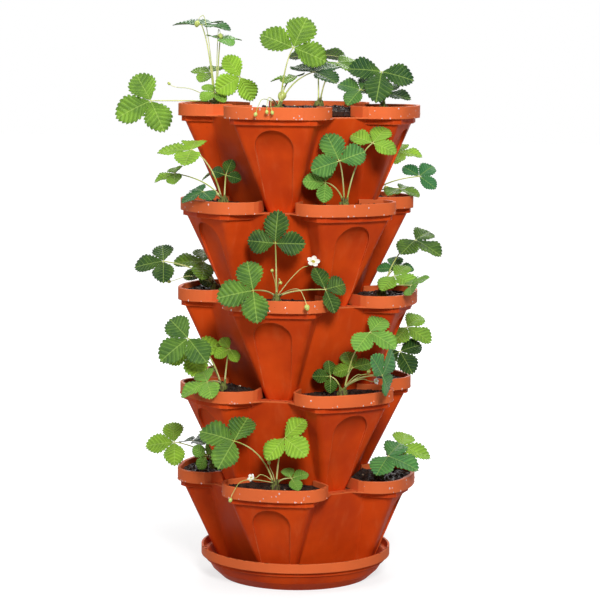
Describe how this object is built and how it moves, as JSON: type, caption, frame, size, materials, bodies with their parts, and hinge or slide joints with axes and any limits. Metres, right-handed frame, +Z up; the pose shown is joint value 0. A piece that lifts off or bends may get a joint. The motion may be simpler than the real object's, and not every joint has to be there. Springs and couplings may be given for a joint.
{
  "type": "vertical planter tower",
  "caption": "Tower of nested four-lobed stacking pots, each turned half a lobe on the one below, on a round drip saucer, with a strawberry plant in every pocket.",
  "frame": {"origin": "centre of the saucer's underside, on the ground", "axes": "+Z up along the tower; the lobes of the odd pots, counted from the top, point along X and Y, and the front one along -Y"},
  "size_m": [0.4239, 0.3642, 0.7319],
  "materials": {
    "terracotta": "moulded, satin",
    "terracotta_saucer": "moulded, satin",
    "soil": "moist potting mix",
    "leaf": "living leaf"
  },
  "bodies": {
    "base": {"saucer": "terracotta_saucer"},
    "tier_5": {"pot_5": "terracotta", "soil_5": "soil", "plant_5_right": "leaf", "plant_5_back": "leaf", "plant_5_left": "leaf", "plant_5_front": "leaf"},
    "tier_4": {"pot_4": "terracotta", "soil_4": "soil", "plant_4_back_right": "leaf", "plant_4_back_left": "leaf", "plant_4_front_left": "leaf", "plant_4_front_right": "leaf"},
    "tier_3": {"pot_3": "terracotta", "soil_3": "soil", "plant_3_right": "leaf", "plant_3_back": "leaf", "plant_3_left": "leaf", "plant_3_front": "leaf"},
    "tier_2": {"pot_2": "terracotta", "soil_2": "soil", "plant_2_back_right": "leaf", "plant_2_back_left": "leaf", "plant_2_front_left": "leaf", "plant_2_front_right": "leaf"},
    "tier_1": {"pot_1": "terracotta", "soil_1": "soil", "plant_1_right": "leaf", "plant_1_back": "leaf", "plant_1_left": "leaf", "plant_1_front": "leaf"}
  },
  "joints": [
    {"name": "tier_5_lift", "type": "slide", "parent": "base", "child": "tier_5", "axis": [0, 0, 1], "range_m": [0, 0.12]},
    {"name": "tier_4_lift", "type": "slide", "parent": "tier_5", "child": "tier_4", "axis": [0, 0, 1], "range_m": [0, 0.12]},
    {"name": "tier_3_lift", "type": "slide", "parent": "tier_4", "child": "tier_3", "axis": [0, 0, 1], "range_m": [0, 0.12]},
    {"name": "tier_2_lift", "type": "slide", "parent": "tier_3", "child": "tier_2", "axis": [0, 0, 1], "range_m": [0, 0.12]},
    {"name": "tier_1_lift", "type": "slide", "parent": "tier_2", "child": "tier_1", "axis": [0, 0, 1], "range_m": [0, 0.12]}
  ]
}
